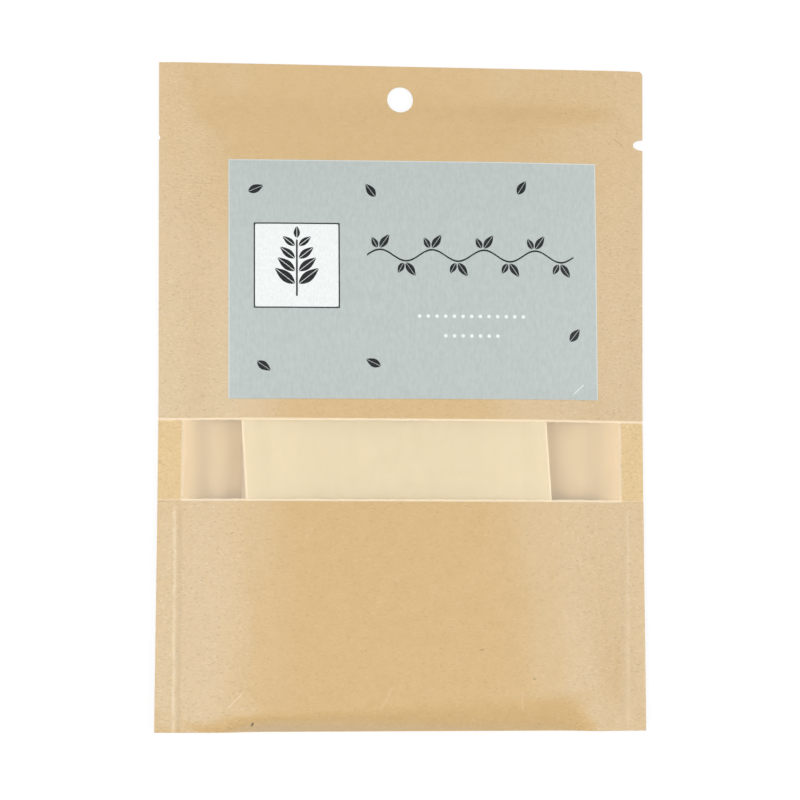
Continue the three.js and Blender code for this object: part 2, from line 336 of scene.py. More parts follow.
def reach_at():
    """The slopes meet squarely at the head and flow into each other at the foot."""
    to_head = np.clip(ROWS - STACK_HEAD, 0, 1)
    square = (BESIDE_STACK ** HEAD_SQUARE + to_head ** HEAD_SQUARE) ** (1 / HEAD_SQUARE)
    to_foot = np.clip(STACK_FOOT - ROWS, 0, 1)
    flowing = BESIDE_STACK + to_foot - BESIDE_STACK * to_foot
    return np.minimum(1, np.where(Y < STACK_MIDDLE, flowing, square))


REACH = reach_at()


def rolled(reach):
    rounded = reach ** 2 / (reach + EDGE_ROUND) * (1 + EDGE_ROUND)
    return blend(rounded, rounded ** 2, SLOPE_ROLL)


def filter_pitch(along):
    to_body = np.clip((along - FILTER_PLEAT) / (FRONT_LEAF - FILTER_PLEAT), 0, 1)
    to_flap = np.clip((along - FRONT_LEAF) / FILTER_FLAP, 0, 1)
    return blend(blend(PLEAT_PITCH, BODY_PITCH, to_body), FLAP_PITCH, to_flap)


def stack_top():
    x, y = place_at(np.clip(COLUMNS, STACK_LEFT, STACK_RIGHT), np.clip(ROWS, STACK_FOOT, STACK_HEAD))
    up = (y - STACK_MIDDLE) * math.cos(LEAN) - (x - STACK_SHIFT) * math.sin(LEAN)
    return STACK_BED + FILTER_COUNT * filter_pitch(up + FILTER_LENGTH / 2) + STACK_RISE


def flange_height():
    share = Y / POUCH_HEIGHT + 0.5
    into_seal = np.maximum(np.abs(X) - pouch_side(Y) + SIDE_SEAL, 0) / SIDE_SEAL
    droop = into_seal * blend(DROOP_AT_FOOT, DROOP_AT_TOP, share)
    wave = FOOT_WAVE * np.sin(math.pi * BESIDE_STACK) ** 2 * LOW_DOWN
    level = blend(FLANGE_AT_FOOT, FLANGE_AT_TOP, share) - droop + wave
    return level + ripple(*SEAL_WAVES)


def swell(flat_top):
    """How far the slack front stands off the stack: most in the middle, less towards its edges."""
    across = np.minimum(COLUMNS - STACK_LEFT, STACK_RIGHT - COLUMNS) * FILTER_WIDTH
    inside = np.minimum(across, np.minimum(Y - stack_end(-1, X), stack_end(1, X) - Y))
    share = 1 - np.exp(-np.maximum(inside, 0) / SWELL_RUN)
    return np.clip(FRONT_LIMIT - flat_top, 0, SWELL) * share


def crumpled_corner():
    aside = ease((CRUMPLE_CORNER[0] - X) / CRUMPLE_RUN[0])
    low = ease((CRUMPLE_CORNER[1] - Y) / CRUMPLE_RUN[1])
    return ripple(*CRUMPLE) * (aside * low)


def sealing_ridges():
    lower = ease((WINDOW_FOOT - Y) / RIDGE_HEAD_RUN) * ease((Y + TOP_EDGE) / RIDGE_FOOT_RUN)
    profile = np.exp(-((np.abs(X) - RIDGE_LINE) / RIDGE_BREADTH) ** 2)
    return RIDGE * lower * (profile * np.where(X < 0, 1, RIDGE_ON_RIGHT))


def fine_relief():
    """Small wrinkles, the crumpled corner low on the left and the ridge of each sealing bar."""
    return ripple(*WRINKLES) + crumpled_corner() + sealing_ridges()


def front_height():
    """The under side of the film, which runs on below the kraft sheets."""
    flat_top = stack_top() + EDGE_CLEAR + (ripple(*BROAD_DENTS) + ripple(*SMALL_DENTS))
    on_stack = flat_top + swell(flat_top)
    on_seal = flange_height() + LAMINATE + BOND
    drawn = blend(on_stack, on_seal, rolled(REACH))
    near_foot = LOW_DOWN * ease(1 - BESIDE_STACK / CORNER_SHARE)
    near_end = np.maximum(near_foot, ease((Y - HEAD_ZONE) / END_RUN))
    soft = blend(softened(drawn, SOFT_PASSES), softened(drawn, END_PASSES), near_end)
    held = np.where(REACH < HELD_REACH, stack_top() + EDGE_CLEAR, 0)
    soft = smoothed(soft_larger(soft, held, REST_ROUND), REST_PASSES)
    from_rim = np.minimum(pouch_side(Y) - np.abs(X), np.minimum(TOP_EDGE - Y, Y - fold_line(X)))
    return blend(drawn, soft, ease(from_rim / RIM_RUN)) + fine_relief()


FRONT = front_height()
PANEL = FRONT + FILM + BOND


def room_below_stack():
    """How high the back may rise: a little under the lowest filter, which doesn't lean, more beside it."""
    aside = np.maximum(np.abs(X - STACK_SHIFT) - FILTER_WIDTH / 2 - BACK_EDGE, 0)
    beyond = np.maximum(np.abs(Y - STACK_MIDDLE) - FILTER_LENGTH / 2 - BACK_EDGE, 0)
    away = np.hypot(aside, beyond)
    return BACK_ROOM + BACK_STEEPEST * away ** 2 / (away + BACK_RUN)


def back_height():
    """The back lies flat under the stack and rises to meet the front along the seals and the fold."""
    lifted = np.maximum((REACH - BACK_FLAT_SHARE) / (1 - BACK_FLAT_SHARE), 0)
    slack = smoothed(flange_height() * rolled(lifted), SOFT_PASSES)
    slack = smoothed(soft_smaller(slack, room_below_stack(), BACK_ROOM), BACK_PASSES)
    sealed = ease((REACH - BACK_SEALED_FROM) / (1 - BACK_SEALED_FROM))
    return np.maximum(blend(slack, FRONT - LAMINATE - BOND, sealed), 0)


def lower_leaf_height():
    """Below the film the lower front leaf lies straight on the back along the seals and the fold."""
    welded = ease((REACH - WELD_FROM) / WELD_RUN) * ease((TUCK_FOOT - ROWS) / WELD_ROWS)
    return PANEL - (FILM + 2 * BOND - WELD_GAP) * welded


def surface(height, thickness, start, end):
    """The middle surface of a sheet between two rows of guide lines, as a grid of points."""
    margin = 0.001
    kept = (ROWS[:, 0] > start - margin) & (ROWS[:, 0] < end + margin)
    return np.stack([X, Y, height + thickness / 2], axis=2)[kept]


# Meshes
def put_in_scene(name, data):
    thing = bpy.data.objects.new(name, data)
    bpy.context.scene.collection.objects.link(thing)
    return thing


def new_piece(name, vertices, faces, material):
    mesh = bpy.data.meshes.new(name)
    mesh.from_pydata(vertices, [], faces)
    mesh.materials.append(material)
    return put_in_scene(name, mesh)


def smooth(piece):
    piece.data.shade_smooth()
    piece.data.set_sharp_from_angle(angle=SHARP_EDGE)
    return piece


def closed_sheet(name, middle, thickness, material):
    """A thin sheet round a grid of points, closed at its rim."""
    along = np.gradient(middle, axis=0)
    across = np.gradient(middle, axis=1)
    normal = np.cross(across, along)
    normal /= np.linalg.norm(normal, axis=2, keepdims=True)
    upper = middle + normal * thickness / 2
    lower = middle - normal * thickness / 2
    count = upper.shape[0] * upper.shape[1]
    index = np.arange(count).reshape(upper.shape[:2])
    corners = [index[:-1, :-1], index[:-1, 1:], index[1:, 1:], index[1:, :-1]]
    top_faces = np.stack(corners, axis=2).reshape(-1, 4)
    under_faces = top_faces[:, ::-1] + count
    rim = np.concatenate([index[0, :-1], index[:-1, -1], index[-1, :0:-1], index[:0:-1, 0]])
    ahead = np.roll(rim, -1)
    rim_faces = np.stack([rim + count, ahead + count, ahead, rim], axis=1)
    vertices = np.concatenate([upper.reshape(-1, 3), lower.reshape(-1, 3)])
    faces = np.concatenate([top_faces, under_faces, rim_faces])
    return new_piece(name, vertices.tolist(), faces.tolist(), material)


def line_inside(piece, lining):
    """Gives the under side of a closed sheet its own finish."""
    piece.data.materials.append(lining)
    count = len(piece.data.vertices) // 2
    for face in piece.data.polygons:
        face.material_index = 1 if min(face.vertices) >= count else 0


def prisms(outlines):
    """Closed posts through the whole pouch, one for each outline seen from the front."""
    shape = bmesh.new()
    for outline in outlines:
        foot = [shape.verts.new((x, y, PUNCH_FROM)) for x, y in outline]
        head = [shape.verts.new((x, y, PUNCH_TO)) for x, y in outline]
        shape.faces.new(head)
        shape.faces.new(foot[::-1])
        for i in range(len(foot)):
            shape.faces.new((foot[i - 1], foot[i], head[i], head[i - 1]))
    mesh = bpy.data.meshes.new("posts")
    shape.to_mesh(mesh)
    shape.free()
    return put_in_scene("posts", mesh)


def cut(piece, outlines, operation):
    """Punches outlines out of a piece, or keeps only what lies inside them."""
    posts = prisms(outlines)
    modifier = piece.modifiers.new("cut", "BOOLEAN")
    modifier.operation = operation
    modifier.solver = "MANIFOLD"
    modifier.object = posts
    whole = piece.data
    piece_after = piece.evaluated_get(bpy.context.evaluated_depsgraph_get())
    cut_mesh = bpy.data.meshes.new_from_object(piece_after)
    piece.modifiers.clear()
    piece.data = cut_mesh
    cut_mesh.name = whole.name
    bpy.data.meshes.remove(whole)
    bpy.data.objects.remove(posts)
    return piece


def heights_on(piece, x, y):
    """Heights of a piece's upper side under places seen from the front."""
    tree = BVHTree.FromObject(piece, bpy.context.evaluated_depsgraph_get())
    down = Vector((0, 0, -1))
    spots = zip(x.ravel(), y.ravel())
    hits = [tree.ray_cast(Vector((a, b, PUNCH_TO)), down)[0].z for a, b in spots]
    return np.array(hits).reshape(x.shape)


# Punched outlines
def arc(x, y, wide, tall, start, end, steps):
    turns = np.linspace(start, end, steps)
    return [(x + wide * math.cos(turn), y + tall * math.sin(turn)) for turn in turns]


def ring(x, y, wide, tall, steps):
    return arc(x, y, wide, tall, 0, 2 * math.pi, steps + 1)[:-1]


def hang_hole():
    return ring(HOLE_SHIFT, TOP_EDGE - HOLE_DROP, HOLE_DIAMETER / 2, HOLE_DIAMETER / 2, HOLE_STEPS)


def tear_notch(side):
    y = TOP_EDGE - NOTCH_DROP
    x = side * (pouch_side(y) + NOTCH_REACH - NOTCH_DEPTH) + NOTCH_SLIP
    return ring(x, y, NOTCH_REACH, NOTCH_MOUTH / 2, NOTCH_STEPS)


def corner_trim():
    x = POUCH_WIDTH / 2 - CORNER_RADIUS
    y = TOP_EDGE - CORNER_RADIUS
    beyond = CORNER_RADIUS + CORNER_BEYOND
    inner = arc(x, y, CORNER_RADIUS, CORNER_RADIUS, 0, math.pi / 2, CORNER_STEPS)
    return (inner + [(x, y + beyond), (x + beyond, y + beyond), (x + beyond, y)])[::-1]


def top_punches():
    return [hang_hole(), tear_notch(-1), tear_notch(1), corner_trim()]


# Finishes
def paint(red, green, blue):
    """A colour from 0 to 255 as seen on a screen, as the light it stands for."""
    shares = [value / 255 for value in (red, green, blue)]
    return [s / 12.92 if s <= 0.04045 else ((s + 0.055) / 1.055) ** 2.4 for s in shares] + [1]


class Finish:
    """The node tree of a material or of the room, with short calls for what the finishes share."""

    def __init__(self, name, shelf=bpy.data.materials):
        self.holder = shelf.new(name)
        self.holder.use_nodes = True
        self.tree = self.holder.node_tree
        self.tree.nodes.clear()
        self.places = self.add("ShaderNodeTexCoord", {}).outputs
        self.place = self.places["Object"]

    def add(self, kind, inputs, **settings):
        node = self.tree.nodes.new(kind)
        for name, value in settings.items():
            setattr(node, name, value)
        for name, value in inputs.items():
            if isinstance(value, bpy.types.NodeSocket):
                self.tree.links.new(value, node.inputs[name])
            else:
                node.inputs[name].default_value = value
        return node

    def axis(self, vector, name):
        return self.add("ShaderNodeSeparateXYZ", {"Vector": vector}).outputs[name]

    def math(self, operation, *values):
        inputs = dict(enumerate(values))
        return self.add("ShaderNodeMath", inputs, operation=operation).outputs["Value"]

    def plus(self, first, second):
        return self.math("ADD", first, second)

    def minus(self, first, second):
        return self.math("SUBTRACT", first, second)

    def times(self, first, second):
        return self.math("MULTIPLY", first, second)

    def larger(self, first, second):
        return self.math("MAXIMUM", first, second)

    def size(self, value):
        return self.math("ABSOLUTE", value)

    def weighed(self, first, second, share):
        return self.plus(self.times(first, 1 - share), self.times(second, share))

    def vector(self, operation, *values, result="Vector"):
        inputs = dict(enumerate(values))
        return self.add("ShaderNodeVectorMath", inputs, operation=operation).outputs[result]

    def along(self, origin, angle):
        """How far a place lies from an origin in the direction of an angle, seen from the front."""
        offset = self.vector("SUBTRACT", self.place, (*origin, 0))
        return self.vector("DOT_PRODUCT", offset, (math.cos(angle), math.sin(angle), 0), result="Value")

    def span(self, value, low, high, start=0.0, end=1.0):
        inputs = {"Value": value, "From Min": low, "From Max": high, "To Min": start, "To Max": end}
        return self.add("ShaderNodeMapRange", inputs, interpolation_type="SMOOTHSTEP").outputs["Result"]

    def mix(self, share, first, second):
        return self.add("ShaderNodeMix", {0: share, 6: first, 7: second}, data_type="RGBA").outputs[2]

    def tint(self, colour, share, strength, other):
        return self.mix(self.times(share, strength), colour, other)

    def noise(self, scale, detail, roughness=0.5, place=None):
        inputs = {"Vector": place or self.place, "Scale": scale, "Detail": detail, "Roughness": roughness}
        return self.add("ShaderNodeTexNoise", inputs).outputs["Fac"]

    def streaks(self, scale, detail, angle=0, shift=(0, 0, 0)):
        """Noise that is turned about the upright axis, then stretched and moved."""
        inputs = {"Vector": self.place, "Angle": angle}
        spun = self.add("ShaderNodeVectorRotate", inputs, rotation_type="Z_AXIS").outputs["Vector"]
        drawn = self.vector("MULTIPLY_ADD", spun, scale, shift)
        return self.noise(1.0, detail, place=drawn)

    def hairs(self, angle, length, breadth, rarity, layer):
        """Short curly fibres, 1 on a fibre and 0 between."""
        curl = 1 / length
        wander = self.streaks((0.6 * curl, curl, curl), 0.6, angle, (0, 0, layer))
        line = self.span(self.size(self.minus(wander, 0.5)), 0.4 * breadth * curl, 0)
        patch = self.streaks((0.7 * curl, 0.9 * curl, curl), 0, angle, (7, 3, layer))
        return self.times(line, self.span(patch, rarity, rarity + 0.05))

    def dashes(self, angle, length, breadth, rarity, layer):
        """Scattered short marks along the given angle, 1 on a mark and 0 between."""
        drawn = self.streaks((0.5 / length, 0.5 / breadth, 0), 0, -angle, (1, 5, layer))
        return self.span(drawn, rarity, rarity + 0.08)

    def stroke(self, start, end, breadth):
        """A straight mark between two places seen from the front, 1 on it and 0 away from it."""
        run = (end[0] - start[0], end[1] - start[1])
        length = math.hypot(*run)
        heading = (run[0] / length, run[1] / length, 0)
        flat = self.vector("MULTIPLY", self.place, (1, 1, 0))
        offset = self.vector("SUBTRACT", flat, (*start, 0))
        along = self.vector("DOT_PRODUCT", offset, heading, result="Value")
        held = self.add("ShaderNodeClamp", {"Value": along, "Min": 0, "Max": length}).outputs["Result"]
        spread = self.add("ShaderNodeCombineXYZ", {"X": held, "Y": held, "Z": held}).outputs["Vector"]
        away = self.vector("DISTANCE", offset, self.vector("MULTIPLY", spread, heading), result="Value")
        return self.span(away, breadth / 2, 0)

    def bump(self, height, strength, distance, **over):
        inputs = {"Height": height, "Strength": strength, "Distance": distance} | over
        return self.add("ShaderNodeBump", inputs).outputs["Normal"]

    def layered(self, share, under, over):
        return self.add("ShaderNodeMixShader", {0: share, 1: under, 2: over}).outputs["Shader"]

    def show(self, shader):
        self.add("ShaderNodeOutputMaterial", {"Surface": shader})
        return self.holder

    def paper(self, colour, roughness, normal, gloss, sheen=WHITE):
        inputs = {"Base Color": colour, "Roughness": roughness, "Normal": normal}
        inputs |= {"Specular IOR Level": gloss, "Specular Tint": sheen}
        return self.show(self.add("ShaderNodeBsdfPrincipled", inputs).outputs["BSDF"])


# Noise between a material's two tones, depth of paper relief, and what faces up
FULL_TONES = (0.2, 0.8)
WIDE_TONES = (0.25, 0.75)
EVEN_TONES = (0.3, 0.7)
CLOSE_TONES = (0.36, 0.64)
PAPER_RELIEF = 0.05 * MM
FACING_UP = (0, 0.1)

# Kraft paper: colours, grain in waves per metre, relief and sheen
KRAFT_SHADE = paint(213, 179, 125)
KRAFT_LIGHT = paint(217, 183, 130)
# Painted sheen: a paler, cooler tint for the kraft above the window
KRAFT_SHEEN_TINT = paint(226, 216, 200)
# The fibre colours also serve as the painted highlight and the painted shade of the seal ridges
DARK_FIBRE_AND_SHADE = paint(160, 126, 84)
PALE_FIBRE_AND_HIGHLIGHT = paint(246, 228, 194)
KRAFT_RUBBED = paint(244, 226, 194)
KRAFT_SPECK = paint(74, 50, 28)
SHEEN_TINT_SHARE = 0.06
CLOUD_GRAIN = 420
CLOUD_ROUGHNESS = 0.6
FELT_GRAIN = (1100, 2000, 1100)
FELT_TURN = 0.05
TOOTH_GRAIN = 5200
TOOTH_SHARE = 0.4
FELT_SHARE = 0.85
KRAFT_ROUGHNESS = (0.28, 0.33)
KRAFT_GLOSS = 0.6
COOL_SHEEN = (0.52, 0.8, 1, 1)

# Slopes of the slack kraft beside the stack and in the two lower corners
SHOULDER_INSIDE = 4.5 * MM
SHOULDER_RUN = 6 * MM
SHOULDER_TILT = math.radians(6)
MARGIN_RUN = 3 * SHOULDER_RUN
MARGIN_TILT = math.radians(6.5)
CORNER_TILT = math.radians(7)
CORNER_ACROSS = (4 * MM, -9 * MM)
CORNER_DOWN = (-68 * MM, -73 * MM)

# Where the fibres get stronger or fainter: from where, to where, and the strength at each; stronger beside
# the stack is painted highlight, the fibres catching the sheen there
FIBRE_GLINTS_ACROSS = (4 * MM, -8 * MM, 0.75, 1.45)
FIBRES_UP = (42 * MM, 56 * MM, 1.0, 0.65)

# Fibres: how they are drawn, their angles, length, breadth, rarity, first layer of noise, strength, colour
FIBRES = [
    (Finish.hairs, (0.1, 0.9, -0.7), 1.0 * MM, 0.18 * MM, 0.62, 2.3, 0.05, DARK_FIBRE_AND_SHADE),
    (Finish.dashes, (0.1, 0.6, -0.5), 0.55 * MM, 0.16 * MM, 0.71, 20.3, 0.2, DARK_FIBRE_AND_SHADE),
    (Finish.dashes, (-0.1, 0.5, -0.7), 0.5 * MM, 0.16 * MM, 0.71, 50.7, 0.13, PALE_FIBRE_AND_HIGHLIGHT),
    (Finish.dashes, (0.2,), 0.4 * MM, 0.2 * MM, 0.77, 9.1, 0.4, DARK_FIBRE_AND_SHADE),
]
LAYER_STEP = 4

# Ridges of the sealing bars: pale as wear and as painted highlight on their lit side, with painted shade in
# the crease inside
RIDGE_GRAIN = 160
WEAR_AND_HIGHLIGHT_GRAIN = (900, 350, 900)
WEAR_AND_HIGHLIGHT_TONES = (0.3, 0.6, 0.2, 1)
RIDGE_TOP_RUN = 3 * MM
RIDGE_EDGE = (0.6 * MM, 0.1 * MM)
RIDGE_HIGHLIGHT_SHARE = 0.3
RIDGE_SIDES = (1 * MM, -1 * MM, RIDGE_ON_RIGHT, 1)
CREASE_SHADE_BREADTH = 0.9 * MM
CREASE_SHADE_SHARE = 0.18

# Rubbed scratches and dark specks: two ends and a breadth in millimetres, and a strength
SCRATCHES = [
    ((-39.8, -70.7), (-36.5, -67.3), 0.45, 0.45),
    ((-5.6, -71.0), (-4.1, -68.8), 0.9, 0.14),
    ((-4.1, -68.8), (-3.0, -66.3), 0.9, 0.14),
    ((26.7, -67.5), (26.9, -71.4), 0.5, 0.2),
]
SPECKS = [
    ((-34.4, -74.7), (-34.2, -74.2), 0.75, 0.95),
    ((17.2, -57.8), (17.8, -57.7), 0.4, 0.6),
    ((29.4, -64.3), (29.6, -64.4), 0.5, 0.6),
    ((49.4, 60.3), (51.3, 58.9), 0.25, 0.6),
]


def fibres(look, colour, strength):
    """Dark and pale fibres of unbleached paper over a plain colour."""
    for draw, angles, length, breadth, rarity, layer, cover, other in FIBRES:
        for step, angle in enumerate(angles):
            shape = draw(look, angle, length, breadth, rarity, layer + LAYER_STEP * step)
            colour = look.tint(colour, shape, look.times(strength, cover), other)
    return colour


def seal_ridge_wear_highlight_and_shade(look, colour):
    """The pale ridge that each sealing bar left below the window, partly wear and partly painted highlight,
    with painted shade in the crease inside it.
    """
    across = look.axis(look.place, "X")
    waver = look.times(look.noise(RIDGE_GRAIN, 2), RIDGE_WAVER)
    aside = look.minus(look.plus(look.size(across), waver), RIDGE_LINE + RIDGE_WAVER / 2)
    wear_and_highlight = look.span(look.streaks(WEAR_AND_HIGHLIGHT_GRAIN, 2), *WEAR_AND_HIGHLIGHT_TONES)
    below = look.span(look.axis(look.place, "Y"), WINDOW_FOOT, WINDOW_FOOT - RIDGE_TOP_RUN)
    share = look.times(below, look.span(across, *RIDGE_SIDES))
    ridge = look.times(look.span(look.size(aside), *RIDGE_EDGE), wear_and_highlight)
    crease = look.span(look.size(look.plus(aside, CREASE_SHADE_INSIDE)), CREASE_SHADE_BREADTH, 0)
    colour = look.tint(colour, look.times(ridge, share), RIDGE_HIGHLIGHT_SHARE, PALE_FIBRE_AND_HIGHLIGHT)
    return look.tint(colour, look.times(crease, share), CREASE_SHADE_SHARE, DARK_FIBRE_AND_SHADE)


def wear(look, colour, marks, other):
    """Marks on the front only, so not where the paper faces down."""
    facing = look.add("ShaderNodeNewGeometry", {}).outputs["True Normal"]
    front = look.span(look.axis(facing, "Z"), *FACING_UP)
    for start, end, breadth, strength in marks:
        ends = [[value * MM for value in corner] for corner in (start, end)]
        mark = look.times(front, look.stroke(*ends, breadth * MM))
        colour = look.tint(colour, mark, strength, other)
    return colour


def from_stack_side(look):
    """How far a place lies inside the nearer side edge of the stack."""
    aside = look.size(look.along((STACK_SHIFT, STACK_MIDDLE), LEAN))
    return look.minus(FILTER_WIDTH / 2, aside)


def zone(look, across, up):
    """A share that changes beside the stack, times one that changes up the pouch."""
    beside = look.span(from_stack_side(look), *across)
    return look.times(beside, look.span(look.axis(look.place, "Y"), *up))


def above_window(look):
    return look.span(look.axis(look.place, "Y"), WINDOW_FOOT, WINDOW_HEAD)


def soft_shoulder(look):
    """The slack paper's fall at the sides of the stack, and beside it above the window, as a height."""
    inside = look.minus(from_stack_side(look), SHOULDER_INSIDE)
    share = look.math("TANH", look.math("DIVIDE", inside, SHOULDER_RUN))
    at_side = look.times(share, SHOULDER_RUN * math.tan(SHOULDER_TILT))
    beside = look.math("SMOOTH_MIN", inside, 0, MARGIN_RUN)
    slope = look.times(above_window(look), math.tan(MARGIN_TILT))
    return look.plus(at_side, look.times(beside, slope))


def kraft_relief(look):
    """The felted grain and fine tooth of the paper, tilted along the slack paper's slopes."""
    tooth = look.times(look.noise(TOOTH_GRAIN, 3), TOOTH_SHARE)
    felt = look.plus(look.streaks(FELT_GRAIN, 3, FELT_TURN), tooth)
    grain = look.bump(felt, FELT_SHARE, PAPER_RELIEF)
    tilted = look.bump(soft_shoulder(look), 1.0, 1.0, Normal=grain)
    to_fold = look.times(look.axis(look.place, "Y"), -math.tan(CORNER_TILT))
    return look.bump(to_fold, zone(look, CORNER_ACROSS, CORNER_DOWN), 1.0, Normal=tilted)


def kraft_paper():
    look = Finish("kraft paper")
    cloud = look.noise(CLOUD_GRAIN, 4, CLOUD_ROUGHNESS)
    colour = look.mix(look.span(cloud, *WIDE_TONES), KRAFT_SHADE, KRAFT_LIGHT)
    # Painted sheen: the kraft above the window is tinted paler and cooler, for the sheen on the upper panel
    colour = look.tint(colour, above_window(look), SHEEN_TINT_SHARE, KRAFT_SHEEN_TINT)
    # The fibres are the paper's own; drawn stronger beside the stack, they stand in for their glints in the
    # sheen there: painted highlight
    colour = fibres(look, colour, zone(look, FIBRE_GLINTS_ACROSS, FIBRES_UP))
    # Seal ridges: wear, with painted highlight on the ridge and painted shade in the crease
    colour = seal_ridge_wear_highlight_and_shade(look, colour)
    colour = wear(look, colour, SCRATCHES, KRAFT_RUBBED)
    colour = wear(look, colour, SPECKS, KRAFT_SPECK)
    roughness = look.span(cloud, *FULL_TONES, *KRAFT_ROUGHNESS)
    return look.paper(colour, roughness, kraft_relief(look), KRAFT_GLOSS, COOL_SHEEN)


# Coated inside of the pouch, with the wavering inner line of the side seals
LINING_SHADE = paint(220, 193, 142)
LINING_LIGHT = paint(224, 197, 146)
LINING_SEALED = paint(208, 179, 120)
LINING_GRAIN = 200
LINING_TOOTH = 2400
LINING_BUMP = 0.1
LINING_ROUGHNESS = 0.5
LINING_GLOSS = 0.4
SEALED_EDGE = (-0.3 * MM, 0.3 * MM)
SEALED_SHARE = 0.8
SEALED_FIBRES = 1.6
SEAL_GRAIN = 130
SEAL_LINE = float(pouch_side(WINDOW_FOOT)) - SIDE_SEAL


def from_seal(look):
    """How far a place lies outside the wavering inner line of the side seals."""
    waver = look.times(look.noise(SEAL_GRAIN, 2), SEAL_WAVER)
    aside = look.plus(look.size(look.axis(look.place, "X")), waver)
    return look.minus(aside, SEAL_LINE + SEAL_WAVER / 2)


def kraft_lining():
    """Smooth, with its fibres showing along the seals."""
    look = Finish("kraft lining")
    cloud = look.noise(LINING_GRAIN, 3)
    colour = look.mix(look.span(cloud, *WIDE_TONES), LINING_SHADE, LINING_LIGHT)
    sealed = look.span(from_seal(look), *SEALED_EDGE)
    colour = look.tint(colour, sealed, SEALED_SHARE, LINING_SEALED)
    colour = fibres(look, colour, look.times(sealed, SEALED_FIBRES))
    normal = look.bump(look.noise(LINING_TOOTH, 3), LINING_BUMP, PAPER_RELIEF)
    return look.paper(colour, LINING_ROUGHNESS, normal, LINING_GLOSS)


# Film: colours, milkiness of the loose film, of its weld lines and of its rims, and sheen
FILM_MILK = paint(250, 240, 226)
FILM_BEAD = paint(255, 238, 208)
FILM_GRAIN = (260, 90, 260)
FILM_HAZE = (0.09, 0.11)
LEAST_HAZE = 0.003
LOOSE_EDGE = (0.2 * MM, -0.2 * MM)
WELD_EDGE = (0.5 * MM, 0.1 * MM, 0, 0.12)
BEAD_GRAIN = (700, 200, 200)
BEAD_EDGE = (0.1 * MM, -0.1 * MM, 0, 0.55)
BEAD_ON_SEAL = (0.4 * MM, -0.2 * MM, 0.25, 1)
BEAD_TONES = (0, 0.2)
FILM_SHADOW = 0.5
FILM_ROUGHNESS = 0.38
FILM_IOR = 1.3


def film_haze(look, outside):
    """The faint milkiness of the loose film and of the lines where it is welded to the back."""
    grain = look.span(look.streaks(FILM_GRAIN, 3), *FULL_TONES, *FILM_HAZE)
    haze = look.times(look.span(outside, *LOOSE_EDGE), grain)
    weld = look.span(look.size(outside), *WELD_EDGE)
    return look.plus(look.plus(haze, weld), LEAST_HAZE)


def film_beads(look, outside):
    """The milky rims along the kraft's edges, the lower one faint where the film is sealed."""
    uneven = look.times(look.streaks(BEAD_GRAIN, 2), BEAD_WAVER)
    breadth = look.plus(uneven, BEAD - BEAD_WAVER / 2)
    up = look.axis(look.place, "Y")
    at_head = look.span(look.minus(look.minus(WINDOW_HEAD, up), breadth), *BEAD_EDGE)
    at_foot = look.span(look.minus(look.minus(up, WINDOW_FOOT), breadth), *BEAD_EDGE)
    return look.larger(at_head, look.times(at_foot, look.span(outside, *BEAD_ON_SEAL)))


def clear_film():
    """Matt film, clear where it is welded to the back and milky along the weld lines and its rims."""
    look = Finish("clear matt film")
    outside = from_seal(look)
    bead = film_beads(look, outside)
    cover = look.larger(film_haze(look, outside), bead)
    colour = look.mix(look.span(bead, *BEAD_TONES), FILM_MILK, FILM_BEAD)
    shadow = look.add("ShaderNodeLightPath", {}).outputs["Is Shadow Ray"]
    lit = look.minus(1.0, look.times(shadow, FILM_SHADOW))
    open_air = look.add("ShaderNodeBsdfTransparent", {}).outputs["BSDF"]
    milk = look.add("ShaderNodeBsdfDiffuse", {"Color": colour}).outputs["BSDF"]
    sheen = look.add("ShaderNodeBsdfGlossy", {"Color": WHITE, "Roughness": FILM_ROUGHNESS}).outputs["BSDF"]
    facing = look.add("ShaderNodeFresnel", {"IOR": FILM_IOR}).outputs["Fac"]
    body = look.layered(look.times(cover, lit), open_air, milk)
    return look.show(look.layered(look.times(facing, lit), body, sheen))


# Label paper and its inks: colours, grain and relief, rubbed edges and one scratch
LABEL_SHADE = paint(181, 190, 187)
LABEL_LIGHT = paint(190, 198, 196)
LABEL_PALE = paint(226, 231, 229)
LABEL_WARP = (3200, 420, 3200)
LABEL_WEFT = (500, 2600, 500)
WEFT_SHARE = 0.25
LABEL_MOTTLE = (1300, 700, 1300)
MOTTLE_SHARE = 0.5
LABEL_BUMP = 0.12
LABEL_RELIEF = 0.03 * MM
LABEL_ROUGHNESS = (0.42, 0.5)
LABEL_GLOSS = 0.45
RUB_FROM = 0.3 * MM
RUB_TO = 0.1 * MM
RUB_SHARE = 0.7
LABEL_SCRATCHES = [((39.2, 0.65), (41.5, 2.75), 0.45, 0.9)]
PALE_INK = (paint(232, 237, 236), paint(240, 244, 243))
DARK_INK = (paint(28, 33, 35), paint(18, 22, 24))
INK_GRAIN = (2600, 1300, 2600)
INK_BUMP = 0.08
INK_RELIEF = 0.02 * MM
INK_ROUGHNESS = (0.5, 0.42)
INK_GLOSS = 0.35


def label_rub(look):
    """The rubbed rim along the label's sides and top."""
    middle = (LABEL_SHIFT, LABEL_MIDDLE)
    aside = look.size(look.along(middle, LABEL_LEAN))
    up = look.along(middle, LABEL_LEAN + math.pi / 2)
    at_side = look.span(aside, LABEL_WIDTH / 2 - RUB_FROM, LABEL_WIDTH / 2 - RUB_TO)
    at_top = look.span(up, LABEL_HEIGHT / 2 - RUB_FROM, LABEL_HEIGHT / 2 - RUB_TO)
    return look.larger(at_side, at_top)


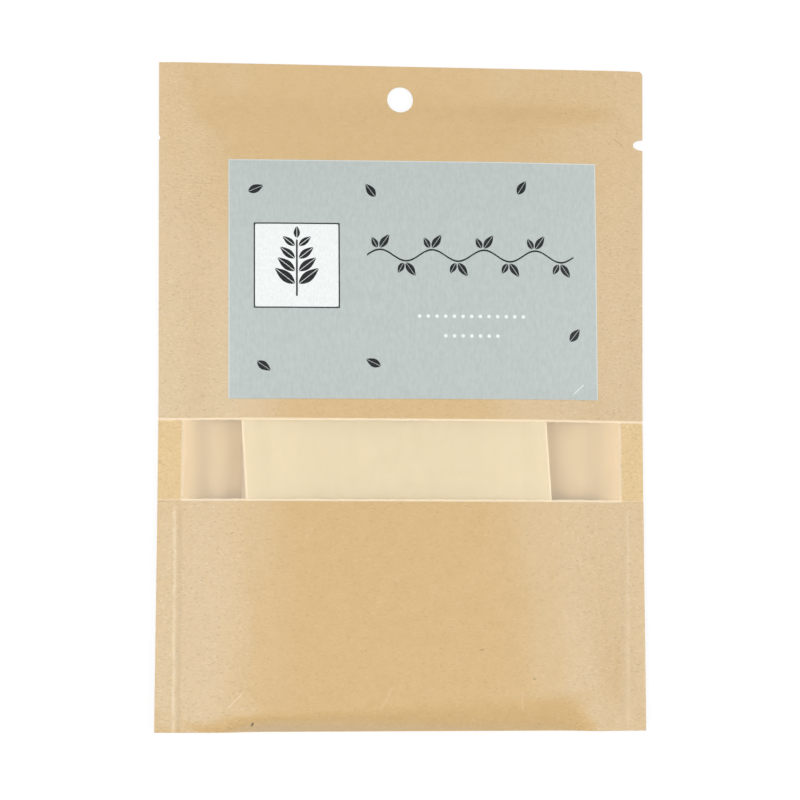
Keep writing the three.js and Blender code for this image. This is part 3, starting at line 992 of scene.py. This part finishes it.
def label_stock():
    look = Finish("label paper")
    warp = look.streaks(LABEL_WARP, 2, LABEL_LEAN)
    weft = look.streaks(LABEL_WEFT, 2, LABEL_LEAN, (4, 4, 4))
    mottle = look.streaks(LABEL_MOTTLE, 3, LABEL_LEAN, (2, 2, 2))
    grain = look.weighed(warp, weft, WEFT_SHARE)
    blotch = look.weighed(grain, mottle, MOTTLE_SHARE)
    colour = look.mix(look.span(blotch, *CLOSE_TONES), LABEL_SHADE, LABEL_LIGHT)
    colour = look.tint(colour, label_rub(look), RUB_SHARE, LABEL_PALE)
    colour = wear(look, colour, LABEL_SCRATCHES, LABEL_PALE)
    roughness = look.span(grain, *EVEN_TONES, *LABEL_ROUGHNESS)
    return look.paper(colour, roughness, look.bump(grain, LABEL_BUMP, LABEL_RELIEF), LABEL_GLOSS)


def printed_ink(name, tones):
    look = Finish(name)
    grain = look.streaks(INK_GRAIN, 3)
    colour = look.mix(look.span(grain, *EVEN_TONES), *tones)
    roughness = look.span(grain, *EVEN_TONES, *INK_ROUGHNESS)
    return look.paper(colour, roughness, look.bump(grain, INK_BUMP, INK_RELIEF), INK_GLOSS)


# Filter paper: colours, grain, paler seams with crimp lines, painted sheen towards the seams, a painted
# highlight on the edge, and painted shade on the lower filters
FILTER_SHADE = paint(217, 202, 163)
FILTER_LIGHT = paint(221, 206, 170)
FILTER_CRIMP_AND_SHEEN = paint(234, 218, 182)
FILTER_EDGE_HIGHLIGHT = paint(255, 240, 210)
FILTER_BELOW_SHADE = paint(210, 187, 154)
FILTER_FIBRE = (2400, 900, 2400)
FIBRE_TURN = 0.7
FIBRE_SHARE = 0.2
FILTER_BUMP = 0.1
FILTER_ROUGHNESS = 0.85
FILTER_GLOSS = 0.3
SEAM_SOFT = 0.4 * MM
SHEET_SHEEN = (20 * MM, FILTER_SEAM, 0, 0.22)
STRIP_PALER = (FILTER_SEAM, 0, -0.1, 0.3)
EDGE_HIGHLIGHT = (0.5 * MM, 0.15 * MM, 0, 0.6)
BELOW_SHADE_EDGE = (-0.05 * MM, -0.3 * MM)
CRIMP_GRAIN = 330
CRIMP_SHARE = 0.4


def filter_tone(look, inside, seam, colour):
    """Painted sheen on the sheet towards the seams, the seams paler towards their edges, a painted
    highlight on the edge, and painted shade on the filters that show below the top one.
    """
    # Painted sheen: the sheet grows paler towards the seams, where the stack's shoulders catch the light
    sheet = look.span(inside, *SHEET_SHEEN)
    strip = look.span(inside, *STRIP_PALER)
    paler = look.plus(sheet, look.times(seam, look.minus(strip, sheet)))
    colour = look.mix(paler, colour, FILTER_CRIMP_AND_SHEEN)
    # Painted highlight along the edge of the top filter
    colour = look.mix(look.span(inside, *EDGE_HIGHLIGHT), colour, FILTER_EDGE_HIGHLIGHT)
    # Painted shade on the lower filters that show beside the top one's edge
    return look.mix(look.span(inside, *BELOW_SHADE_EDGE), colour, FILTER_BELOW_SHADE)


def filter_paper():
    look = Finish("filter paper")
    fibre = look.streaks(FILTER_FIBRE, 3, FIBRE_TURN)
    mottle = look.weighed(look.noise(CLOUD_GRAIN, 4, CLOUD_ROUGHNESS), fibre, FIBRE_SHARE)
    colour = look.mix(look.span(mottle, *EVEN_TONES), FILTER_SHADE, FILTER_LIGHT)
    inside = from_stack_side(look)
    seam = look.span(inside, FILTER_SEAM + SEAM_SOFT, FILTER_SEAM)
    colour = filter_tone(look, inside, seam, colour)
    inputs = {"Vector": look.place, "Scale": CRIMP_GRAIN}
    waves = look.add("ShaderNodeTexWave", inputs, bands_direction="Y").outputs["Fac"]
    crimp = look.times(waves, look.times(seam, CRIMP_SHARE))
    normal = look.bump(look.plus(mottle, crimp), FILTER_BUMP, PAPER_RELIEF)
    return look.paper(colour, FILTER_ROUGHNESS, normal, FILTER_GLOSS)


# The printed design: where field, sprig, vine, dots and leaves lie across and up, and their sizes
FIELD = (-27 * MM, 3 * MM, 19 * MM)
FIELD_CORNER = 0.6 * MM
FRAME = 0.3 * MM
FRAME_CORNER = 0.1 * MM
OBLONG_STEPS = 6
LEAF_STEPS = 10
LEAF_TAPER = 0.85
VEIN = 0.12 * MM
SPRIG_STEM = (0.4 * MM, 13 * MM, 0.19 * MM)
SPRIG_DROP = 0.6 * MM
SPRIG_PAIRS = 4
FIRST_PAIR = -4.2 * MM
PAIR_PITCH = 2.9 * MM
PAIR_APART = 0.5 * MM
LONGEST_LEAF = 5.6 * MM
SHORTER = 0.75 * MM
LEAF_SLIMNESS = 0.38
LEAF_SPREAD = math.radians(52)
TIP_UP = 6.3 * MM
TIP_LEAF = (2.6 * MM, 1.2 * MM)
VINE = (13 * MM, 5.5 * MM, 48 * MM, 2.6 * MM)
VINE_WAVES = 4
VINE_STEPS = 24
VINE_STEM = 0.4 * MM
VINE_STALK = 0.45 * MM
DOT_ROWS = [(13 * MM, -8.5 * MM, 13), (13 * MM, -13 * MM, 7)]
DOT_PITCH = 2 * MM
DOT_RADIUS = 0.42 * MM
DOT_STEPS = 16
LOOSE_LEAF = (3.6 * MM, 1.7 * MM)

# The leaf and the bud on each bend of the vine: how far back, length, breadth, angle
VINE_LEAVES = [
    (0, 3.6 * MM, 1.5 * MM, math.radians(55)),
    (0.6 * MM, 2.6 * MM, 1.2 * MM, math.radians(118)),
]

# Scattered leaves: place on the label in millimetres, and the angle that they point at
LOOSE_LEAVES = [
    (-38, 20, 0.4),
    (-9, 19, 2.2),
    (24, 20, 1.0),
    (-36, -19, -0.6),
    (-8, -20, 2.7),
    (36, -14, 0.9),
]


def oblong(u, v, wide, tall, corner):
    points = []
    for turn, (a, b) in enumerate([(1, 1), (-1, 1), (-1, -1), (1, -1)]):
        middle_u = u + a * (wide / 2 - corner)
        middle_v = v + b * (tall / 2 - corner)
        start = turn * math.pi / 2
        points += arc(middle_u, middle_v, corner, corner, start, start + math.pi / 2, OBLONG_STEPS)
    return points


def half_leaves(u, v, length, breadth, angle):
    """A leaf as its two halves, with the bare line of the vein between them."""
    shares = [step / LEAF_STEPS for step in range(LEAF_STEPS + 1)]
    rise = [VEIN + breadth / 2 * math.sin(math.pi * share ** LEAF_TAPER) for share in shares]
    turn = (math.cos(angle), math.sin(angle))
    halves = []
    for side in (-1, 1):
        outer = [(share * length, side * height) for share, height in zip(shares, rise)]
        outline = outer + [(length, side * VEIN / 2), (0, side * VEIN / 2)]
        outline = outline if side < 0 else outline[::-1]
        halves.append([(u + a * turn[0] - b * turn[1], v + a * turn[1] + b * turn[0]) for a, b in outline])
    return halves


def dots(middle, height, count):
    places = [middle + (step - (count - 1) / 2) * DOT_PITCH for step in range(count)]
    return [ring(across, height, DOT_RADIUS, DOT_RADIUS, DOT_STEPS) for across in places]


def pale_outlines():
    u, v, size = FIELD
    outlines = [oblong(u, v, size, size, FIELD_CORNER)]
    for middle, height, count in DOT_ROWS:
        outlines += dots(middle, height, count)
    return outlines


def frame_bars():
    u, v, size = FIELD
    half = (size - FRAME) / 2 + FRAME
    long = size + 2 * FRAME
    upright = [oblong(u + side * half, v, FRAME, long, FRAME_CORNER) for side in (-1, 1)]
    level = [oblong(u, v + side * half, size, FRAME, FRAME_CORNER) for side in (-1, 1)]
    return upright + level


def sprig(u, v):
    """An upright stem with pairs of leaves that get shorter upwards, and one leaf on its tip."""
    outlines = [oblong(u, v - SPRIG_DROP, *SPRIG_STEM)]
    for step in range(SPRIG_PAIRS):
        up = v + FIRST_PAIR + step * PAIR_PITCH
        long = LONGEST_LEAF - step * SHORTER
        for side in (-1, 1):
            angle = math.pi / 2 - side * LEAF_SPREAD
            outlines += half_leaves(u + side * PAIR_APART, up, long, long * LEAF_SLIMNESS, angle)
    return outlines + half_leaves(u, v + TIP_UP, *TIP_LEAF, math.pi / 2)


def vine_stem():
    u, v, long, tall = VINE
    steps = VINE_STEPS * VINE_WAVES
    shares = [step / steps for step in range(steps + 1)]
    middle = [(u + (s - 0.5) * long, v + tall / 2 * math.sin(2 * math.pi * VINE_WAVES * s)) for s in shares]
    half = VINE_STEM / 2
    return [(a, b - half) for a, b in middle] + [(a, b + half) for a, b in middle[::-1]]


def vine():
    """A wavy stem with a leaf and a bud growing from each of its bends."""
    u, v, long, tall = VINE
    outlines = [vine_stem()]
    for bend in range(2 * VINE_WAVES):
        share = (bend + 0.5) / (2 * VINE_WAVES)
        side = 1 if bend % 2 == 0 else -1
        across = u + (share - 0.5) * long
        stalk = v + side * (tall / 2 + VINE_STALK)
        for back, length, breadth, angle in VINE_LEAVES:
            outlines += half_leaves(across - back, stalk, length, breadth, side * angle)
    return outlines


def dark_outlines():
    outlines = frame_bars() + sprig(*FIELD[:2]) + vine()
    for a, b, angle in LOOSE_LEAVES:
        outlines += half_leaves(a * MM, b * MM, *LOOSE_LEAF, angle)
    return outlines


# The pieces
def fold(back_edge, front_edge):
    """The half round between the feet of the back and of the front, as rows of points."""
    turns = np.linspace(-math.pi / 2, math.pi / 2, FOLD_TURNS)[1:-1]
    middle = (back_edge + front_edge) / 2
    half = (front_edge - back_edge)[:, 2] / 2
    offsets = [np.stack([half * 0, -half * math.cos(t), half * math.sin(t)], axis=1) for t in turns]
    return np.array([middle + offset for offset in offsets])


def make_pouch_body(kraft, lining):
    back = surface(back_height(), LAMINATE, FOLD_START, TOP)[::-1]
    front = surface(lower_leaf_height(), LAMINATE, FOLD_START, SILL)
    middle = np.concatenate([back, fold(back[-1], front[0]), front])
    piece = closed_sheet("pouch", middle, LAMINATE, kraft)
    line_inside(piece, lining)
    return smooth(cut(piece, top_punches(), "DIFFERENCE"))


def make_upper_panel(kraft, lining):
    """Still without its punches, so that the label can be laid on it first."""
    middle = surface(PANEL, LAMINATE, LINTEL, TOP)
    piece = closed_sheet("upper_panel", middle, LAMINATE, kraft)
    line_inside(piece, lining)
    return piece


def make_film(film):
    return smooth(closed_sheet("film", surface(FRONT, FILM, TUCK_FOOT, TUCK_HEAD), FILM, film))


def label_place(u, v):
    x = LABEL_SHIFT + u * math.cos(LABEL_LEAN) - v * math.sin(LABEL_LEAN)
    y = LABEL_MIDDLE + u * math.sin(LABEL_LEAN) + v * math.cos(LABEL_LEAN)
    return x, y


def label_surface(panel):
    """The label's under side, stuck to the panel, with its foot edge just lifting."""
    u = np.linspace(-LABEL_WIDTH / 2, LABEL_WIDTH / 2, round(LABEL_WIDTH / LABEL_STEP) + 1)
    v = np.linspace(-LABEL_HEIGHT / 2, LABEL_HEIGHT / 2, round(LABEL_HEIGHT / LABEL_STEP) + 1)
    u, v = np.meshgrid(u, v)
    x, y = label_place(u, v)
    lift = LABEL_LIFT * ease((-LABEL_HEIGHT / 2 + LABEL_LIFT_RUN - v) / LABEL_LIFT_RUN)
    return np.stack([x, y, heights_on(panel, x, y) + BOND + lift], axis=2)


def make_label(under, stock):
    middle = under + (0, 0, LABEL_PAPER / 2)
    return smooth(closed_sheet("label_paper", middle, LABEL_PAPER, stock))


def make_print(name, under, over, outlines, ink):
    piece = closed_sheet(name, under + (0, 0, LABEL_PAPER + over + INK / 2), INK, ink)
    placed = [[label_place(u, v) for u, v in outline] for outline in outlines]
    return smooth(cut(piece, placed, "INTERSECT"))


def dress_filters():
    paper = filter_paper()
    for order in range(FILTER_COUNT):
        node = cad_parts[f"filter_{order + 1:02d}"]
        for holder in node.material_slots:
            holder.material = paper


def make_pack():
    kraft = kraft_paper()
    lining = kraft_lining()
    pouch = make_pouch_body(kraft, lining)
    panel = make_upper_panel(kraft, lining)
    film = make_film(clear_film())
    under = label_surface(panel)
    smooth(cut(panel, top_punches(), "DIFFERENCE"))
    label = make_label(under, label_stock())
    pale_ink = printed_ink("pale ink", PALE_INK)
    dark_ink = printed_ink("dark ink", DARK_INK)
    pale = make_print("pale_print", under, PALE_INK_OVER, pale_outlines(), pale_ink)
    dark = make_print("dark_print", under, DARK_INK_OVER, dark_outlines(), dark_ink)
    for piece in (pouch, panel, film, label, pale, dark):
        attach(piece, "root")
    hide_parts("pouch_body")
    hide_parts("upper_front_panel")
    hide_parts("window_film")
    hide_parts("label")


# Floor, lights and camera
FLOOR_SHADE = paint(226, 226, 226)
FLOOR_LIGHT = paint(230, 230, 230)
FLOOR_GRAIN = 40
FLOOR_ROUGHNESS = 0.9
FLOOR_GLOSS = 0.1
FLOOR_HALF = 1.5
FLOOR_LEVEL = -0.02 * MM
FLOOR_WHITE = 1.08
WHITE_SHARE = 0.8
ROOM_LEVEL = 0.08
ROOM_OVERHEAD = 0.51
SENSOR_WIDTH = 36
FOCAL_LENGTH = 116.9
NEAREST_SEEN = 0.01
CAMERA_PLACE = (-58.98 * MM, -36.34 * MM, 594.03 * MM)
CAMERA_TURN = (3.403, -5.632, 0.109)

# Softboxes: name, place, breadth from head to foot, breadth across, power
SOFTBOXES = [
    ("left softbox", (-1.18, -0.2, 1.58), 1.4, 1.3, 21.8),
    ("right softbox", (1.24, -0.2, 1.53), 1.4, 1.2, 18),
]


def white_table():
    look = Finish("white table")
    tint = look.mix(look.noise(FLOOR_GRAIN, 3), FLOOR_SHADE, FLOOR_LIGHT)
    inputs = {"Base Color": tint, "Roughness": FLOOR_ROUGHNESS, "Specular IOR Level": FLOOR_GLOSS}
    matt = look.add("ShaderNodeBsdfPrincipled", inputs).outputs["BSDF"]
    rays = look.add("ShaderNodeLightPath", {}).outputs
    seen = look.larger(rays["Is Camera Ray"], rays["Is Glossy Ray"])
    seen = look.larger(seen, rays["Is Transmission Ray"])
    white = look.add("ShaderNodeEmission", {"Color": WHITE, "Strength": FLOOR_WHITE}).outputs["Emission"]
    return look.show(look.layered(look.times(seen, WHITE_SHARE), matt, white))


def make_floor():
    turns = [(-1, -1), (1, -1), (1, 1), (-1, 1)]
    corners = [(a * FLOOR_HALF, b * FLOOR_HALF, FLOOR_LEVEL) for a, b in turns]
    new_piece("table", corners, [(0, 1, 2, 3)], white_table())


def make_light(name, place, wide, tall, power):
    lamp = bpy.data.lights.new(name, "AREA")
    lamp.shape = "RECTANGLE"
    lamp.size = wide
    lamp.size_y = tall
    lamp.energy = power
    holder = put_in_scene(name, lamp)
    holder.location = place
    holder.rotation_euler = (-Vector(place)).to_track_quat("-Z", "Y").to_euler()


def make_world():
    """A soft room, brightest overhead."""
    look = Finish("soft room", bpy.data.worlds)
    up = look.axis(look.places["Generated"], "Z")
    inputs = {"Value": up, "To Min": ROOM_LEVEL, "To Max": ROOM_OVERHEAD}
    level = look.add("ShaderNodeMapRange", inputs).outputs["Result"]
    sky = look.add("ShaderNodeBackground", {"Color": WHITE, "Strength": level}).outputs["Background"]
    look.add("ShaderNodeOutputWorld", {"Surface": sky})
    bpy.context.scene.world = look.holder


def make_camera():
    lens = bpy.data.cameras.new("camera")
    lens.sensor_width = SENSOR_WIDTH
    lens.lens = FOCAL_LENGTH
    lens.clip_start = NEAREST_SEEN
    holder = put_in_scene("camera", lens)
    holder.location = CAMERA_PLACE
    holder.rotation_euler = [math.radians(angle) for angle in CAMERA_TURN]
    bpy.context.scene.camera = holder


make_camera()
make_world()
for softbox in SOFTBOXES:
    make_light(*softbox)
make_floor()
make_pack()
dress_filters()
bpy.context.scene.view_settings.view_transform = "Standard"
